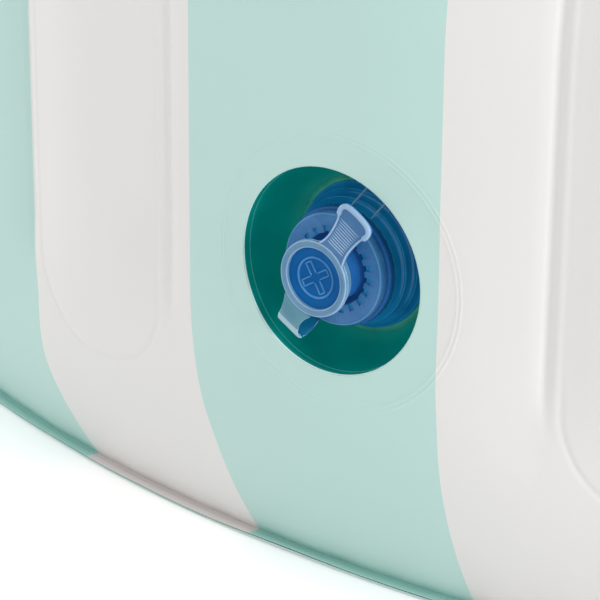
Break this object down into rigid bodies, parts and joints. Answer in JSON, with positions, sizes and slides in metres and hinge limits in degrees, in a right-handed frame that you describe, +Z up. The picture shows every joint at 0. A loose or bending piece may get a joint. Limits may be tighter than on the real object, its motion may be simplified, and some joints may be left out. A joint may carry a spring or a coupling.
{
  "type": "inflatable paddling pool",
  "caption": "Round inflatable paddling pool: a tall striped ring wall held upright by inner beams, on a flat floor, with a capped screw-in air valve in a pocket.",
  "frame": {"origin": "centre of the pool on the ground, on the underside of the floor sheet", "axes": "+Z up along the pool's axis; -Y is the side that the air valve faces; +X is to the right of a person who faces the valve"},
  "size_m": [1.523, 1.5381, 0.4],
  "materials": {
    "striped_film": "satin printed vinyl film, mint and cream stripes",
    "mint_film": "satin vinyl film",
    "beam_film": "clear matt vinyl film",
    "green_film": "glossy translucent vinyl",
    "blue_vinyl": "translucent moulded vinyl",
    "frosted_vinyl": "frosted translucent moulded vinyl",
    "seal_rubber": "matt rubber",
    "flap_rubber": "matt rubber",
    "drain_vinyl": "translucent moulded vinyl",
    "plug_vinyl": "satin moulded vinyl"
  },
  "bodies": {
    "pool": {"outer_wall": "striped_film", "inner_wall": "striped_film", "top_band": "striped_film", "floor_sheet": "mint_film", "beam_01": "beam_film", "beam_02": "beam_film", "beam_03": "beam_film", "beam_04": "beam_film", "beam_05": "beam_film", "beam_06": "beam_film", "beam_07": "beam_film", "beam_08": "beam_film", "beam_09": "beam_film", "beam_10": "beam_film", "beam_11": "beam_film", "beam_12": "beam_film", "beam_13": "beam_film", "beam_14": "beam_film", "beam_15": "beam_film", "beam_16": "beam_film", "beam_17": "beam_film", "beam_18": "beam_film", "valve_pocket": "green_film", "valve_base": "blue_vinyl", "drain_seat": "drain_vinyl"},
    "washer": {"valve_seal": "seal_rubber"},
    "insert": {"valve_insert": "blue_vinyl", "valve_ring": "frosted_vinyl", "cap_strap": "frosted_vinyl"},
    "cap": {"valve_cap": "frosted_vinyl"},
    "flap": {"valve_flap": "flap_rubber"},
    "drain_plug": {"drain_plug": "plug_vinyl"}
  },
  "joints": [
    {"name": "insert_lift", "type": "slide", "parent": "pool", "child": "washer", "axis": [0, -1, 0], "range_m": [0, 0.0112]},
    {"name": "insert_turn", "type": "hinge", "parent": "washer", "child": "insert", "pos_m": [0, -0.75582, 0.147], "axis": [0, -1, 0], "range_deg": [0, 1260]},
    {"name": "cap_hinge", "type": "hinge", "parent": "insert", "child": "cap", "pos_m": [-0.01505, -0.76592, 0.12244], "axis": [0.8526, 0, -0.5225], "range_deg": [0, 150]},
    {"name": "flap_push", "type": "slide", "parent": "insert", "child": "flap", "axis": [0, 1, 0], "range_m": [0, 0.002], "stiffness_N_per_m": 20},
    {"name": "drain_pull", "type": "slide", "parent": "pool", "child": "drain_plug", "axis": [0, 0, 1], "range_m": [0, 0.014]}
  ],
  "couplings": [
    {"joint": "insert_lift", "follows": "insert_turn", "m_per_rad": 0.0005093}
  ]
}
